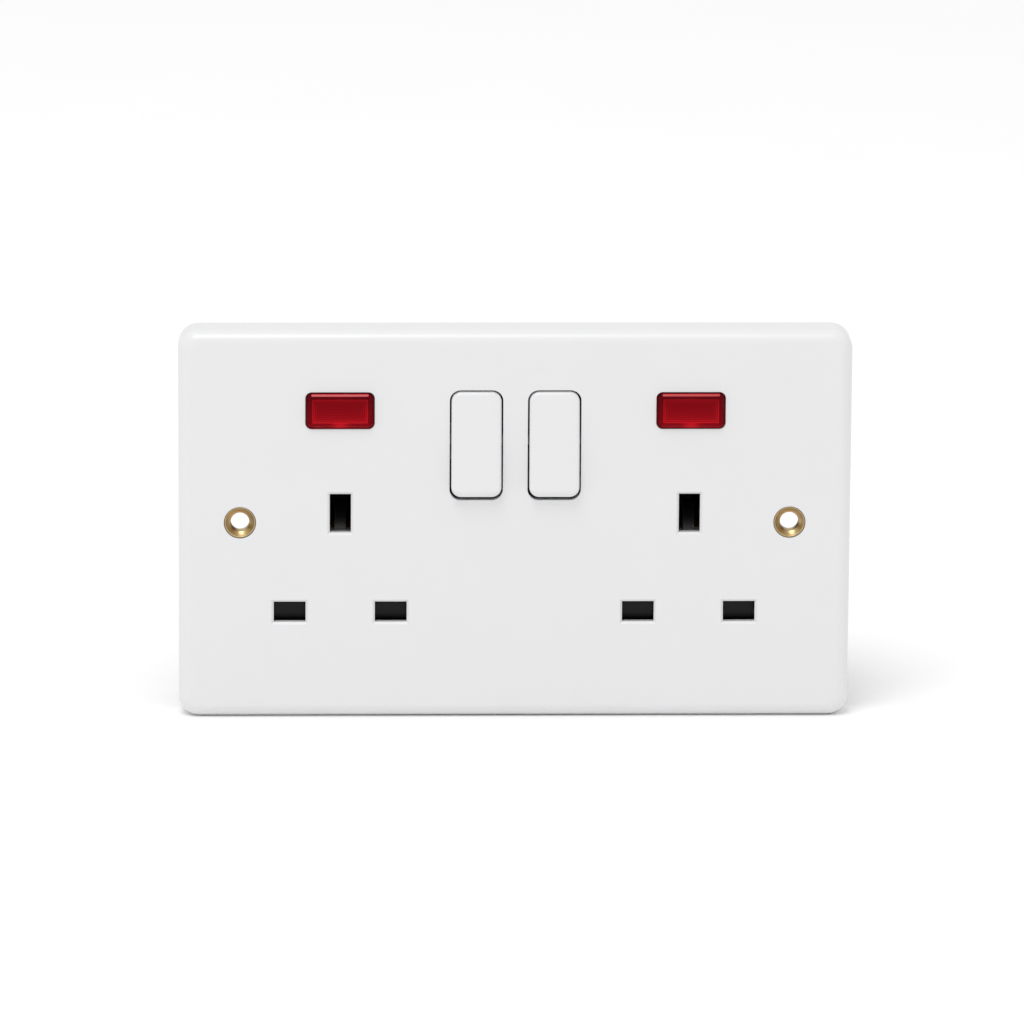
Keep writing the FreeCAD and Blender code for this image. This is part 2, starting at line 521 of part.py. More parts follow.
WELLS += [
    ("-base_width / 2 - 1", "base_width / 2 + 1",
     f"{STRAP_BOTTOM} - channel_gap", "earth_strap_top + channel_gap", "earth_level + 0.1"),
    (f"{LEFT_NEUTRAL} - {TRACK}", f"{RIGHT_NEUTRAL} + {TRACK}",
     f"{NEUTRAL_TOP} - strip_width - channel_gap", f"{NEUTRAL_TOP} + channel_gap", WELL_FLOOR),
    (f"{LEFT_NEUTRAL} - {TRACK}", f"{LEFT_NEUTRAL} + {TRACK}", NEUTRAL_TOP, PIN_ROW, WELL_FLOOR),
    (f"{RIGHT_NEUTRAL} - {TRACK}", f"{RIGHT_NEUTRAL} + {TRACK}", NEUTRAL_TOP, PIN_ROW, WELL_FLOOR),
    (f"-terminal_spacing - {TRACK}", f"-terminal_spacing + {TRACK}",
     NEUTRAL_TOP, "terminal_rise + 4.2", WELL_FLOOR),
    (LEFT_LIVE, f"-{LINK_COLUMN} + {TRACK}", f"{PIN_ROW} - {TRACK}", f"{PIN_ROW} + {TRACK}", WELL_FLOOR),
    (f"-{LINK_COLUMN} - {TRACK}", f"-{LINK_COLUMN} + {TRACK}",
     f"{PIN_ROW} - {TRACK}", f"{PAD_RISE} + {TRACK}", WELL_FLOOR),
    (f"-{LINK_COLUMN} - {TRACK}", f"-{ROCKER_SIDE} - 2",
     f"{PAD_RISE} - {TRACK}", f"{PAD_RISE} + {TRACK}", WELL_FLOOR),
    (f"{RIGHT_LIVE} - {TRACK}", f"{RIGHT_LIVE} + {TRACK}", PIN_ROW, f"{RETURN_RISE} + {TRACK}", WELL_FLOOR),
    (f"{LINK_RIGHT} - {TRACK}", f"{RIGHT_LIVE} + {TRACK}",
     f"{RETURN_RISE} - {TRACK}", f"{RETURN_RISE} + {TRACK}", WELL_FLOOR),
    (f"{LINK_RIGHT} - {TRACK}", f"{LINK_RIGHT} + {TRACK}",
     f"{RETURN_RISE} - {TRACK}", f"{PAD_RISE} + {TRACK}", WELL_FLOOR),
    (f"{ROCKER_SIDE} + 2", f"{LINK_RIGHT} + {TRACK}",
     f"{PAD_RISE} - {TRACK}", f"{PAD_RISE} + {TRACK}", WELL_FLOOR),
    (f"terminal_spacing - {TRACK}", f"terminal_spacing + {TRACK}",
     "terminal_rise - 4.2", f"{FEED_RISE} + {TRACK}", WELL_FLOOR),
    (f"-{TRACK}", f"terminal_spacing + {TRACK}",
     f"{FEED_RISE} - {TRACK}", f"{FEED_RISE} + {TRACK}", WELL_FLOOR),
    (f"-{TRACK}", TRACK, f"{FEED_RISE} - {TRACK}", "rocker_rise + 1.5", WELL_FLOOR),
    (f"-{ROCKER_SIDE} - 2", f"{ROCKER_SIDE} + 2", "rocker_rise - 1.5", "rocker_rise + 1.5", WELL_FLOOR),
    ("-earth_width / 2 - channel_gap", "earth_width / 2 + channel_gap",
     "terminal_rise - 4.2", STRAP_BOTTOM, WELL_FLOOR),
]
for k, (left, right, low, high, floor) in enumerate(WELLS, start=1):
    well = drawing_on(base, f"well_{k:02d}", depth=DECK)
    box(well, left, right, low, high)
    cut_pocket(well, f"{floor} - {DECK}")

pockets = drawing_on(base, "terminal_pockets", depth=HOUSING_BACK)
entries = drawing_on(base, "wire_entries", depth=HOUSING_BACK)
for across in ("-terminal_spacing", "0", "terminal_spacing"):
    centred(pockets, across, "terminal_rise", "terminal_width + channel_gap", "terminal_width + channel_gap")
    box(entries, f"{across} - wire_bore / 2 - 0.6", f"{across} + wire_bore / 2 + 0.6", "-base_bottom - 1",
        "terminal_rise")
cut_pocket(pockets, f"{HOUSING_BACK} - {STRIP_BACK}", back=True)
cut_pocket(entries, f"{HOUSING_BACK} - {STRIP_BACK} - wire_inset + wire_bore / 2 + 0.3", back=True)

holes = drawing_on(base, "joining_holes", depth=DECK)
heads = drawing_on(base, "joining_seats", depth=BASE_BACK)
for across, up in JOINING_SCREWS:
    ring(holes, across, up, "joining_width + 0.5")
    ring(heads, across, up, "joining_head + 0.6")
cut_pocket(holes, f"{BASE_BACK} - {DECK}")
cut_pocket(heads, "2.5", back=True)

# Contact clips: sprung brass, a U with flared mouth and pinched throat, one for each live and neutral pin.
WEB = f"({STRIP_BACK} - 2 * strip_wall)"
for side, hand, name in (("-1", "-1", "neutral_contact_left"), ("-1", "1", "live_contact_left"),
                         ("1", "-1", "neutral_contact_right"), ("1", "1", "live_contact_right")):
    clip = start_body(name, f"{side} * {OUTLET} + {hand} * {PIN_SIDE}", "0", PIN_ROW)
    section = drawing_on(clip, f"{name}_section", "YZ_Plane")
    leaf = [("-1", "0.9"), ("1.2", "-0.25"), ("4.5", "0.3")]
    inner = [(along, f"pin_height / 2 + {swell}") for along, swell in leaf]
    outer = [(along, f"pin_height / 2 + {swell} + leaf_wall") for along, swell in leaf]
    inner.append((WEB, "pin_height / 2 + 0.3"))
    outer.append((f"{WEB} + strip_wall", "pin_height / 2 + 0.3 + leaf_wall"))
    lower_outer = [(along, f"-({up})") for along, up in reversed(outer)]
    lower_inner = [(along, f"-({up})") for along, up in inner]
    polygon(section, outer + lower_outer + lower_inner + inner[::-1])
    raise_pad(section, "clip_width", both=True)

# Flat brass strips behind the clips: the neutral bar, the live feed and the two switched live links.
HALF = "strip_width / 2"
STRIP_FRONT = f"({STRIP_BACK} - strip_wall)"
NEUTRAL_BOTTOM = f"({NEUTRAL_TOP} - strip_width)"


def start_strip(name, corners):
    """A flat strip in the plane that all the strips share."""
    body = start_body(name)
    pattern = drawing_on(body, f"{name}_pattern", depth=STRIP_FRONT)
    polygon(pattern, corners)
    raise_pad(pattern, "strip_wall", back=True)
    return body


FAR_LEFT = f"-({OUTLET}) - {PIN_SIDE}"
FAR_RIGHT = f"({OUTLET}) + {PIN_SIDE}"
NEAR_LEFT = f"{PIN_SIDE} - {OUTLET}"
NEAR_RIGHT = f"{OUTLET} - {PIN_SIDE}"
start_strip("neutral_bar", [
    (f"{FAR_LEFT} - {HALF}", NEUTRAL_BOTTOM), (f"{NEAR_RIGHT} + {HALF}", NEUTRAL_BOTTOM),
    (f"{NEAR_RIGHT} + {HALF}", f"{PIN_ROW} + {HALF}"), (f"{NEAR_RIGHT} - {HALF}", f"{PIN_ROW} + {HALF}"),
    (f"{NEAR_RIGHT} - {HALF}", NEUTRAL_TOP), (f"{HALF} - terminal_spacing", NEUTRAL_TOP),
    (f"{HALF} - terminal_spacing", "terminal_rise + 4"), (f"-{HALF} - terminal_spacing", "terminal_rise + 4"),
    (f"-{HALF} - terminal_spacing", NEUTRAL_TOP), (f"{FAR_LEFT} + {HALF}", NEUTRAL_TOP),
    (f"{FAR_LEFT} + {HALF}", f"{PIN_ROW} + {HALF}"), (f"{FAR_LEFT} - {HALF}", f"{PIN_ROW} + {HALF}"),
])

# The rocking axis lies where the plunger's round tip just clears the contact at both ends of the throw.
TIP_CENTRE = f"({TIP} - tip_round)"
ROCK_LINE = (f"({PIVOT} + {TIP_CENTRE} * cos(rocker_tilt) + (tip_round + tip_gap + strip_wall"
             f" - {TIP_CENTRE} * sin(rocker_tilt) * sin(contact_tilt)) / cos(contact_tilt))")
ARM_FRONT = (f"({ROCK_LINE} + (button_offset + button_width / 2) * sin(contact_tilt)"
             f" + button_height * cos(contact_tilt) + running_gap + button_height)")
ARM_BACK = f"({ARM_FRONT} + strip_wall)"


def add_arm(body, side, start):
    """The stepped end of a live link, with the fixed contact button that its switch closes on."""
    step = f"({ROCKER_SIDE} + 5)"
    end = f"({ROCKER_SIDE} - 2)"
    run = drawing_on(body, f"{body.Label}_arm", "XY_Plane", f"{PAD_RISE} - {HALF}")
    polygon(run, [(f"{side} * ({across})", depth) for across, depth in (
        (start, STRIP_BACK), (f"{step} - strip_wall", STRIP_BACK), (f"{step} - strip_wall", ARM_BACK),
        (end, ARM_BACK), (end, ARM_FRONT), (step, ARM_FRONT), (step, STRIP_FRONT), (start, STRIP_FRONT))])
    raise_pad(run, "strip_width")
    button = drawing_on(body, f"{body.Label}_button", depth=f"{ARM_FRONT}")
    ring(button, f"{side} * {ROCKER_SIDE}", PAD_RISE, "button_width")
    raise_pad(button, "button_height")


link = start_strip("live_link_left", [
    (f"{NEAR_LEFT} - {HALF}", f"{PIN_ROW} - {HALF}"), (f"{HALF} - {LINK_COLUMN}", f"{PIN_ROW} - {HALF}"),
    (f"{HALF} - {LINK_COLUMN}", f"{PAD_RISE} + {HALF}"), (f"-{HALF} - {LINK_COLUMN}", f"{PAD_RISE} + {HALF}"),
    (f"-{HALF} - {LINK_COLUMN}", f"{PIN_ROW} + {HALF}"), (f"{NEAR_LEFT} - {HALF}", f"{PIN_ROW} + {HALF}"),
])
add_arm(link, "-1", f"{LINK_COLUMN} + {HALF}")
link = start_strip("live_link_right", [
    (f"{FAR_RIGHT} - {HALF}", f"{PIN_ROW} - {HALF}"), (f"{FAR_RIGHT} + {HALF}", f"{PIN_ROW} - {HALF}"),
    (f"{FAR_RIGHT} + {HALF}", f"{RETURN_RISE} + {HALF}"), (f"{LINK_RIGHT} + {HALF}", f"{RETURN_RISE} + {HALF}"),
    (f"{LINK_RIGHT} + {HALF}", f"{PAD_RISE} + {HALF}"), (f"{LINK_RIGHT} - {HALF}", f"{PAD_RISE} + {HALF}"),
    (f"{LINK_RIGHT} - {HALF}", f"{RETURN_RISE} - {HALF}"), (f"{FAR_RIGHT} - {HALF}", f"{RETURN_RISE} - {HALF}"),
])
add_arm(link, "1", f"{LINK_RIGHT} + {HALF}")

feed = start_strip("live_feed", [
    (f"terminal_spacing - {HALF}", "terminal_rise - 4"), (f"terminal_spacing + {HALF}", "terminal_rise - 4"),
    (f"terminal_spacing + {HALF}", f"{FEED_RISE} + {HALF}"), (HALF, f"{FEED_RISE} + {HALF}"),
    (HALF, "rocker_rise + 0.9"), (f"-{HALF}", "rocker_rise + 0.9"),
    (f"-{HALF}", f"{FEED_RISE} - {HALF}"), (f"terminal_spacing - {HALF}", f"{FEED_RISE} - {HALF}"),
])
stand = drawing_on(feed, "feed_stand", depth=f"{ROCK_LINE} + 1")
centred(stand, "0", "rocker_rise", "strip_width", "1.8")
raise_pad(stand, f"{STRIP_BACK} - {ROCK_LINE} - 1", back=True)
ridge = drawing_on(feed, "feed_ridge", "YZ_Plane")
polygon(ridge, [(f"{ROCK_LINE} + running_gap", "rocker_rise"), (f"{ROCK_LINE} + 0.5", "rocker_rise + 0.9"),
                (f"{ROCK_LINE} + 1.35", "rocker_rise + 0.9"), (f"{ROCK_LINE} + 1.35", "rocker_rise - 0.9"),
                (f"{ROCK_LINE} + 0.5", "rocker_rise - 0.9")])
raise_pad(ridge, "rocker_spacing + rocking_width", both=True)

# Earth strap: one brass pressing from eyelet to eyelet, with a tail folded down to the earth terminal.
STRAP_FRONT = "(earth_level - strip_wall)"
LUG = f"({FACE_BACK} + running_gap)"
LEG = "(base_width / 2 + 1.2)"
EYELET = "fixing_spacing / 2"
strap = start_body("earth_strap")
run = drawing_on(strap, "strap_run", depth=STRAP_FRONT)
box(run, f"-{LEG}", LEG, STRAP_BOTTOM, "earth_strap_top")
raise_pad(run, "strip_wall", back=True)
legs = drawing_on(strap, "strap_legs", depth="earth_level")
lugs = drawing_on(strap, "strap_lugs", depth=LUG)
rings = drawing_on(strap, "strap_rings", depth=LUG)
holes = drawing_on(strap, "strap_holes", depth=LUG)
box(legs, f"-{LEG}", f"strip_wall - {LEG}", STRAP_BOTTOM, "earth_strap_top")
box(legs, f"{LEG} - strip_wall", LEG, STRAP_BOTTOM, "earth_strap_top")
box(lugs, f"-{EYELET}", f"strip_wall - {LEG}", STRAP_BOTTOM, "fixing_rise")
box(lugs, f"{LEG} - strip_wall", EYELET, STRAP_BOTTOM, "fixing_rise")
for side in ("-1", "1"):
    ring(rings, f"{side} * {EYELET}", "fixing_rise", "eyelet_tube + 2.6")
    ring(holes, f"{side} * {EYELET}", "fixing_rise", "eyelet_tube + 2 * running_gap")
raise_pad(legs, f"earth_level - {LUG}")
raise_pad(lugs, "strip_wall", back=True)
raise_pad(rings, "strip_wall", back=True)
cut_pocket(holes, "2 * strip_wall + 1", both=True)
tail = drawing_on(strap, "strap_tail", "YZ_Plane")
FOLD = "terminal_rise + 4"
polygon(tail, [
    (STRAP_FRONT, f"{STRAP_BOTTOM} + 1"), ("earth_level", f"{STRAP_BOTTOM} + 1"),
    ("earth_level", f"{FOLD} + strip_wall"), (STRIP_BACK, f"{FOLD} + strip_wall"),
    (STRIP_BACK, "terminal_rise - 4"), (STRIP_FRONT, "terminal_rise - 4"),
    (STRIP_FRONT, FOLD), (STRAP_FRONT, FOLD),
])
raise_pad(tail, "earth_width", both=True)

# Earth contacts: a folded channel for each earth pin, riveted to the back of the strap by its foot.
for side, name in (("-1", "earth_contact_left"), ("1", "earth_contact_right")):
    contact = start_body(name, f"{side} * {OUTLET}", "0", "earth_rise")
    web_top = "(-earth_pin_height / 2 - 0.3)"
    half = "(earth_pin_width / 2 + 0.1 + leaf_wall)"
    foot = drawing_on(contact, f"{name}_foot", depth="earth_level")
    box(foot, f"-{half}", half, f"{STRAP_BOTTOM} - earth_rise", web_top)
    raise_pad(foot, "strip_wall", back=True)
    web = drawing_on(contact, f"{name}_web", "XY_Plane", f"{web_top} - strip_wall")
    box(web, f"-{half}", half, "earth_level", f"{EARTH_FLOOR} - strip_wall - 0.4")
    raise_pad(web, "strip_wall")
    leaves = drawing_on(contact, f"{name}_leaves", "XY_Plane", f"{web_top} - strip_wall")
    for hand in ("-1", "1"):
        leaf = [("0.7", "3.2"), ("-0.2", "5.2"), ("0.1", "8"), ("0.1", f"{EARTH_FLOOR} - strip_wall - 0.4")]
        inner = [(f"{hand} * (earth_pin_width / 2 + {swell})", along) for swell, along in leaf]
        outer = [(f"{hand} * (earth_pin_width / 2 + {swell} + leaf_wall)", along) for swell, along in reversed(leaf)]
        polygon(leaves, inner + outer)
    raise_pad(leaves, "earth_pin_height + strip_wall - 0.1")


def turned_body(name, x, y, z, angle):
    """A body turned about the X axis through its own origin."""
    body = start_body(name, x, y, z)
    body.Placement = Placement(body.Placement.Base, Rotation(Vector(1, 0, 0), number(angle)))
    body.setExpression("Placement.Rotation.Angle", cell(angle))
    return body


# Rocking contacts: a brass plate with a button, balanced on the feed's ridge.
for side, hand in (("-1", "left"), ("1", "right")):
    rocking = turned_body(f"moving_contact_{hand}", f"{side} * {ROCKER_SIDE}", ROCK_LINE, "rocker_rise",
                          "contact_tilt")
    blade = drawing_on(rocking, f"blade_{hand}")
    centred(blade, "0", "0", "rocking_width", "rocking_length")
    raise_pad(blade, "strip_wall")
    button = drawing_on(rocking, f"button_{hand}")
    ring(button, "0", "button_offset", "button_width")
    raise_pad(button, "button_height", back=True)

# Rockers: white moulded caps with trunnions at their sides and a hollow stem behind.
FACE = "(-pivot_depth - rocker_proud)"
SKIRT = f"({FACE} + rocker_skirt)"
BORE_END = f"({TIP} - plunger_length - spring_room)"
for side, hand in (("-1", "left"), ("1", "right")):
    place = (f"{side} * {ROCKER_SIDE}", PIVOT, "rocker_rise", "-rocker_tilt")
    rocker = turned_body(f"rocker_{hand}", *place)
    cap = drawing_on(rocker, f"rocker_cap_{hand}", depth=SKIRT)
    rounded(cap, "0", "0", ROCKER_WIDTH, "rocker_length", "rocker_corner")
    block = raise_pad(cap, "rocker_skirt")
    reach = number(FACE)
    soften(block, edges_of(block, lambda edge: lies_at(edge, reach)), "rocker_round", "Chamfer")
    hollow = drawing_on(rocker, f"rocker_hollow_{hand}", depth=SKIRT)
    rounded(hollow, "0", "0", f"{ROCKER_WIDTH} - 2 * rocker_wall", "rocker_length - 2 * rocker_wall",
            "rocker_corner - rocker_wall")
    cut_pocket(hollow, "rocker_skirt - rocker_wall - 0.3", back=True)
    hub = drawing_on(rocker, f"rocker_hub_{hand}", depth="0.5")
    centred(hub, "0", "0", "stem_width + 1.8", "stem_width")
    raise_pad(hub, f"0.5 - {FACE} - rocker_wall")
    for start in (f"-{ROCKER_WIDTH} / 2", f"{ROCKER_WIDTH} / 2 - rocker_wall"):
        ear = drawing_on(rocker, f"rocker_ear_{hand}", "YZ_Plane", start)
        polygon(ear, [(f"{SKIRT} - 0.5", "-4"), ("0.7", "-1.7"), ("0.7", "1.7"), (f"{SKIRT} - 0.5", "4")])
        raise_pad(ear, "rocker_wall")
    axle = drawing_on(rocker, f"rocker_axle_{hand}", "YZ_Plane")
    ring(axle, "0", "0", "trunnion_width")
    raise_pad(axle, f"{ROCKER_WIDTH} + 2 * trunnion_reach", both=True)
    stem = drawing_on(rocker, f"rocker_stem_{hand}", depth="stem_reach")
    ring(stem, "0", "0", "stem_width")
    raise_pad(stem, f"stem_reach - {FACE} - rocker_wall")
    bore = drawing_on(rocker, f"rocker_bore_{hand}", depth="stem_reach")
    ring(bore, "0", "0", "plunger_width + 2 * running_gap")
    cut_pocket(bore, f"stem_reach - {BORE_END}", back=True)

    plunger = turned_body(f"rocker_plunger_{hand}", *place)
    section = drawing_on(plunger, f"plunger_{hand}", "XY_Plane")
    polygon(section, [
        ("0", f"{TIP} - plunger_length"), ("plunger_width / 2", f"{TIP} - plunger_length"),
        ("plunger_width / 2", f"{TIP} - tip_round"), ("plunger_width / 2 - tip_round", TIP), ("0", TIP),
    ])
    turn_about(section, "Y_Axis")

    spring = turned_body(f"rocker_spring_{hand}", *place)
    wall = drawing_on(spring, f"plunger_coil_{hand}", "XY_Plane")
    box(wall, "plunger_width / 2 - 1.5 * spring_wire", "plunger_width / 2 - spring_wire / 2",
        f"{BORE_END} + spring_seat", f"{BORE_END} + spring_room - spring_seat")
    turn_about(wall, "Y_Axis")

# Shutters: black mouldings, a bar over the two lower slots and a stem with a ramp behind the earth slot.
for side, hand in (("-1", "left"), ("1", "right")):
    shutter = start_body(f"shutter_{hand}", f"{side} * {OUTLET}")
    shape = drawing_on(shutter, f"shutter_outline_{hand}", depth=f"{FACE_BACK} + shutter_gap")
    polygon(shape, [
        ("-shutter_reach", BAR_BOTTOM), ("shutter_reach", BAR_BOTTOM), ("shutter_reach", BAR_TOP),
        ("shutter_stem / 2", BAR_TOP), ("shutter_stem / 2", STEM_TOP), ("-shutter_stem / 2", STEM_TOP),
        ("-shutter_stem / 2", BAR_TOP), ("-shutter_reach", BAR_TOP),
    ])
    box(shape, "-shutter_window / 2", "shutter_window / 2", f"{POST_TOP} - 1.7", SPRING_TOP)
    raise_pad(shape, "shutter_wall", back=True)
    ramp = drawing_on(shutter, f"shutter_ramp_{hand}", "YZ_Plane")
    fore = f"({FACE_BACK} + shutter_gap)"
    polygon(ramp, [(fore, f"{STEM_TOP} - 1"), (fore, f"{STEM_TOP} + 0.5"), (f"{fore} + 5", f"{STEM_TOP} + 5.5"),
                   (f"{fore} + 5.8", f"{STEM_TOP} + 5.5"), (f"{fore} + 5.8", f"{STEM_TOP} + 3.2"),
                   (f"{fore} + shutter_wall", f"{STEM_TOP} - 0.2"), (f"{fore} + shutter_wall", f"{STEM_TOP} - 1")])
    raise_pad(ramp, "ramp_width", both=True)

    middle = f"({FACE_BACK} + shutter_gap + shutter_wall / 2)"
    spring = start_body(f"shutter_spring_{hand}", f"{side} * {OUTLET}", middle, POST_TOP)
    wall = drawing_on(spring, f"shutter_coil_{hand}")
    box(wall, "(shutter_coil - spring_wire) / 2", "(shutter_coil + spring_wire) / 2",
        "spring_seat", f"{SPRING_TOP} - {POST_TOP} - spring_seat")
    turn_about(wall, "Z_Axis")

# Terminals: brass blocks in the housing's pockets, a bore for the wires and a screw from behind.
for across, name in (("-terminal_spacing", "neutral_terminal"), ("0", "earth_terminal"),
                     ("terminal_spacing", "live_terminal")):
    terminal = start_body(name, across, STRIP_BACK, "terminal_rise")
    plan = drawing_on(terminal, f"{name}_plan")
    centred(plan, "0", "0", "terminal_width", "terminal_width")
    block = raise_pad(plan, "terminal_depth", back=True)
    soften(block, [f"Edge{k}" for k in range(1, len(block.Shape.Edges) + 1)], "0.4", "Chamfer")
    hole = drawing_on(terminal, f"{name}_wire_bore", "XY_Plane")
    ring(hole, "0", "wire_inset", "wire_bore")
    cut_pocket(hole, "terminal_width + 2", both=True)
    hole = drawing_on(terminal, f"{name}_screw_hole", depth="terminal_depth")
    ring(hole, "0", "0", "screw_width + 2 * running_gap")
    cut_pocket(hole, "terminal_depth - wire_inset", back=True)


def slotted_screw(name, place, shank, length, head, height):
    """A slotted screw along +Y: its tip at the given place, its head at the back."""
    screw = start_body(name, *place)
    section = drawing_on(screw, f"{name}_section", "XY_Plane")
    polygon(section, [("0", "0"), (f"{shank} / 2", "0"), (f"{shank} / 2", length),
                      (f"{head} / 2", length), (f"{head} / 2", f"{length} + {height}"),
                      ("0", f"{length} + {height}")])
    turn_about(section, "Y_Axis")
    slot = drawing_on(screw, f"{name}_slot", depth=f"{length} + {height}")
    centred(slot, "0", "0", "0.9", f"{head} + 1")
    cut_pocket(slot, "0.9", back=True)
    return screw


def group(name, members):
    """Like fasteners as one named set of separate solids."""
    together = doc.addObject("Part::Compound", name)
    together.Label = name
    together.Links = members
    doc.recompute()
    return together


TIP_STOP = f"{STRIP_BACK} + wire_inset + wire_bore / 2 + running_gap"
group("terminal_screws", [
    slotted_screw(f"terminal_screw_{k}", (across, TIP_STOP, "terminal_rise"), "screw_width",
                  f"({HOUSING_BACK} + 1.2 - ({TIP_STOP}))", "screw_head", "1.6")
    for k, across in enumerate(("-terminal_spacing", "0", "terminal_spacing"), start=1)])
group("assembly_screws", [
    slotted_screw(f"assembly_screw_{k}", (across, f"{FACE_BACK} - 1", up), "joining_width",
                  f"({BASE_BACK} - 2.5 - {FACE_BACK} + 1)", "joining_head", "2")
    for k, (across, up) in enumerate(JOINING_SCREWS, start=1)])

# What was built has to be sound before anything is written.
os.makedirs("parts", exist_ok=True)
doc.recompute()
for item in doc.Objects:
    if "Invalid" in item.State or "Error" in item.State:
        raise RuntimeError(f"{item.Name}: {item.State}")
grouped = [member for item in doc.Objects if item.TypeId == "Part::Compound" for member in item.Links]
for item in doc.Objects:
    if item.TypeId not in ("PartDesign::Body", "Part::Compound") or item in grouped:
        continue
    if item.Shape.isNull() or not item.Shape.isValid():
        raise RuntimeError(f"{item.Label} is not sound")
    item.Shape.exportStep(f"parts/{item.Label}.step")
    print(item.Label, len(item.Shape.Solids), round(item.Shape.Volume, 2))
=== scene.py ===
import math

import bmesh
import bpy
import numpy as np
from mathutils import Matrix, Vector


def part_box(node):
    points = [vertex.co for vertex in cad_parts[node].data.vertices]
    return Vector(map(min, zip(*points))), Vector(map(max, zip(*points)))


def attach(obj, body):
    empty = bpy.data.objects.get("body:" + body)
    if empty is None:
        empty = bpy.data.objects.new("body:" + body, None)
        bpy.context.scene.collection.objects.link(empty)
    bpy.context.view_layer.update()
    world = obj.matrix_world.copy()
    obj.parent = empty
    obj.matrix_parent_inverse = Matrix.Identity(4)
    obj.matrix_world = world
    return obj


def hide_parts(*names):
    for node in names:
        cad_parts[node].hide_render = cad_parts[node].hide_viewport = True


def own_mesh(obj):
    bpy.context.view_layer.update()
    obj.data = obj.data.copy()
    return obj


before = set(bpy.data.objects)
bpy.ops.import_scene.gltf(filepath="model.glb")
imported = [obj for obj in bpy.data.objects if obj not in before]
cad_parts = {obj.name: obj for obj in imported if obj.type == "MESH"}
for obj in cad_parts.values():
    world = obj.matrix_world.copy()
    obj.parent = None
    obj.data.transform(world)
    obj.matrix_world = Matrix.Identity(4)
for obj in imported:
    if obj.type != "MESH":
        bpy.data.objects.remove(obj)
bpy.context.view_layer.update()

MM = 0.001


# Front plate: one urea moulding with a rounded front edge, bearing cheeks and screw bosses behind.
# Bright, faintly cool white with a soft sheen, as compression-moulded urea has. It is the CAD plate's
# form, with its face thinned from behind to 2 mm and its openings drawn in to the photograph's edges.
PLATE_HALF = (73.8, 43.5)
PLATE_CORNER = 4.6
RIM_INSIDE = 3.5
FACE_BACK = -6.5
THIN_FACE_BACK = -7.5
ROCKERS = {"left": -8.63, "right": 8.63}
ROCKER_HEIGHT = 18.2
OUTLETS = {"left": -38.3, "right": 38.3}
PIN_ASIDE = 11.11


def linear(code):
    """sRGB hex to linear RGBA: v / 12.92 below 0.04045, else ((v + 0.055) / 1.055) to the power 2.4."""
    parts = [int(code[k:k + 2], 16) / 255 for k in (1, 3, 5)]
    return [v / 12.92 if v < 0.04045 else ((v + 0.055) / 1.055) ** 2.4 for v in parts] + [1.0]


def add(material, kind, links=None, inputs=None, **settings):
    """Adds one node, sets its settings and its inputs' values, and links other nodes' outputs to it."""
    made = material.node_tree.nodes.new(kind)
    for key, value in settings.items():
        setattr(made, key, value)
    for key, value in (inputs or {}).items():
        made.inputs[key].default_value = value
    for key, source in (links or {}).items():
        material.node_tree.links.new(source, made.inputs[key])
    return made


def finish(name, colour, **values):
    """A material of that name, with the colour and values on its shader's own sockets."""
    material = bpy.data.materials.new(name)
    material.use_nodes = True
    shader = material.node_tree.nodes["Principled BSDF"]
    shader.inputs["Base Color"].default_value = linear(colour)
    for key, value in values.items():
        shader.inputs[key.replace("_", " ")].default_value = value
    return material, shader


def speckled(material, shader, first, second, grain, depth):
    """Grain and depth in mm: two close colours in patches of the grain's size, and a finer bump."""
    where = add(material, "ShaderNodeTexCoord")
    cloud = add(material, "ShaderNodeTexNoise", {"Vector": where.outputs["Object"]},
                {"Scale": 1 / (grain * MM), "Detail": 3.0})
    mixed = add(material, "ShaderNodeMix", {"Factor": cloud.outputs["Fac"]}, data_type="RGBA")
    mixed.inputs[6].default_value = linear(first)
    mixed.inputs[7].default_value = linear(second)
    material.node_tree.links.new(mixed.outputs[2], shader.inputs["Base Color"])
    fine = add(material, "ShaderNodeTexNoise", {"Vector": where.outputs["Object"]},
               {"Scale": 4 / (grain * MM), "Detail": 2.0})
    bump = add(material, "ShaderNodeBump", {"Height": fine.outputs["Fac"]}, {"Distance": depth * MM})
    material.node_tree.links.new(bump.outputs["Normal"], shader.inputs["Normal"])


def ramp(material, source, stops):
    """A colour ramp over the source, from (place, sRGB hex) stops: its colour output."""
    made = add(material, "ShaderNodeValToRGB", {"Fac": source})
    for index, (place, code) in enumerate(stops):
        inner = 0 < index < len(stops) - 1
        stop = made.color_ramp.elements.new(place) if inner else made.color_ramp.elements[-1 if index else 0]
        stop.position = place
        stop.color = linear(code)
    return made.outputs["Color"]


def dress(material, *names):
    """The CAD nodes of those names take the material."""
    for name in names:
        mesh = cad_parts[name].data
        mesh.materials.clear()
        mesh.materials.append(material)


urea, urea_shader = finish("compression-moulded urea", "#e0e0e1", Roughness=0.26, IOR=1.55)
speckled(urea, urea_shader, "#dfdfe0", "#e1e1e2", 12, 0.004)
# Each opening's centre and half size, first across and then up, in the CAD plate; then how far its
# middle moves across and up, and by how much its half sizes grow, all in mm.
openings = []
for hand, side in ((-1, "left"), (1, "right")):
    openings.append((ROCKERS[side], 5.93, ROCKER_HEIGHT, 12.5, -0.08 * hand, -0.175, -0.08, -0.155))
    openings.append((OUTLETS[side], 2.32, 2.78, 4.45, 0, -0.1, 0, -0.125))
    for pin in (-PIN_ASIDE, PIN_ASIDE):
        openings.append((OUTLETS[side] + pin, 3.5, -19.45, 2.4, 0, -0.1, 0, -0.11))
